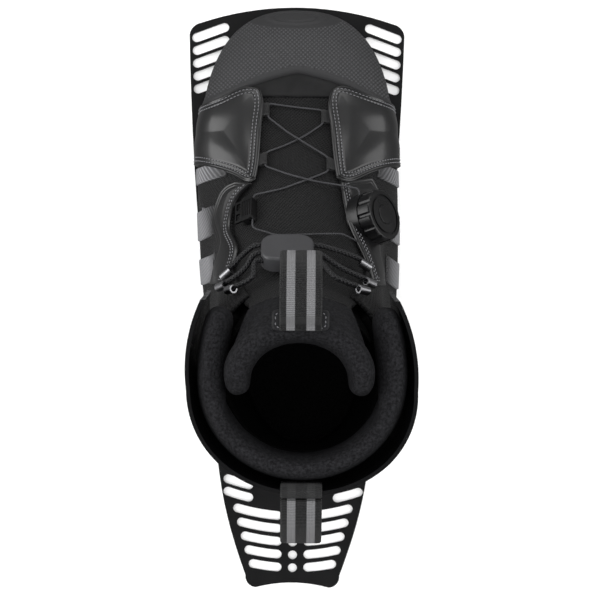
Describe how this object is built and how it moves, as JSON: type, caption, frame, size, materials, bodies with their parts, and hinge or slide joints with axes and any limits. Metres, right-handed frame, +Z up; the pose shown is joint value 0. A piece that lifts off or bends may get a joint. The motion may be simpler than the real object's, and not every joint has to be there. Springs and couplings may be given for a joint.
{
  "type": "water ski boot binding",
  "caption": "Lace-up boot with stiff cuff, padded collar and tightening dial, fixed on a flat slotted plate that screws to a water ski.",
  "frame": {"origin": "middle of the plate's underside", "axes": "+Y towards the toe along the plate, +X towards the dial's side, +Z up"},
  "size_m": [0.15, 0.405, 0.2572],
  "materials": {
    "black_plate": "black anodised sheet",
    "black_rubber": "moulded rubber",
    "steel": "stainless steel",
    "board": "stiff fibre board",
    "black_foam": "EVA foam",
    "cap_rubber": "textured moulded rubber",
    "neoprene": "smooth neoprene",
    "side_mesh": "black mesh over foam",
    "gloss_overlay": "glossy moulded film",
    "grey_band": "satin grey film with diagonal ribs",
    "heel_shell": "moulded counter",
    "lining": "brushed lining",
    "tongue_mesh": "black spacer mesh",
    "cuff_plastic": "glossy moulded shell",
    "pad_fabric": "brushed stretch fabric over foam",
    "dial_plastic": "black moulded nylon",
    "lace_wire": "coated braided lace",
    "webbing": "woven webbing with two grey stripes",
    "cord": "round braided cord",
    "sleeve_metal": "satin aluminium",
    "lock_plastic": "smooth grey nylon",
    "patch_fabric": "stitched synthetic leather"
  },
  "bodies": {
    "boot": {"base_plate": "black_plate", "outsole": "black_rubber", "sole_screws": "steel", "sole_tee_nuts": "steel", "lasting_board": "board", "footbed": "black_foam", "toe_cap": "cap_rubber", "toe_bumper": "cap_rubber", "vamp": "neoprene", "left_quarter": "side_mesh", "right_quarter": "side_mesh", "left_overlay": "gloss_overlay", "right_overlay": "gloss_overlay", "left_eyestay": "gloss_overlay", "right_eyestay": "gloss_overlay", "left_side_bands": "grey_band", "right_side_bands": "grey_band", "heel_counter": "heel_shell", "cuff_rivets": "steel", "liner": "lining", "tongue": "tongue_mesh", "cuff_shell": "cuff_plastic", "collar_pad": "pad_fabric", "tongue_pad": "pad_fabric", "dial_housing": "dial_plastic", "dial_axle": "steel", "lower_lace": "lace_wire", "left_top_lace_loop": "webbing", "left_mid_lace_loop": "webbing", "right_top_lace_loop": "webbing", "right_mid_lace_loop": "webbing", "left_lace_guide": "dial_plastic", "upper_cord": "cord", "cord_sleeves": "sleeve_metal", "cord_lock_body": "lock_plastic", "cord_lock_spring": "steel", "tongue_patch": "patch_fabric", "heel_loop_tab": "webbing"},
    "dial_drum": {"dial_spool": "dial_plastic"},
    "dial_turner": {"dial_knob": "dial_plastic", "dial_pawl_disc": "dial_plastic", "dial_cap": "dial_plastic"},
    "lock_button": {"cord_lock_button": "dial_plastic"},
    "front_loop": {"tongue_pull_loop": "webbing"},
    "heel_loop": {"heel_pull_loop": "webbing"}
  },
  "joints": [
    {"name": "dial_turn", "type": "hinge", "parent": "boot", "child": "dial_drum", "pos_m": [0.04569, 0.05025, 0.1031], "axis": [0.7694, 0.25, 0.5878], "continuous": true},
    {"name": "dial_pull", "type": "slide", "parent": "dial_drum", "child": "dial_turner", "axis": [0.7694, 0.25, 0.5878], "range_m": [0, 0.003]},
    {"name": "lock_press", "type": "slide", "parent": "boot", "child": "lock_button", "axis": [0, 0.5894, -0.8078], "range_m": [0, 0.003], "stiffness_N_per_m": 800, "deforming": ["cord_lock_spring"]},
    {"name": "front_loop_lift", "type": "hinge", "parent": "boot", "child": "front_loop", "pos_m": [0.0042, -0.016, 0.245], "axis": [1, 0, 0], "range_deg": [0, 55], "stiffness_Nm_per_rad": 0.05},
    {"name": "heel_loop_lift", "type": "hinge", "parent": "boot", "child": "heel_loop", "pos_m": [0.0054, -0.12018, 0.222], "axis": [-1, 0, 0], "range_deg": [0, 50], "stiffness_Nm_per_rad": 0.05}
  ]
}
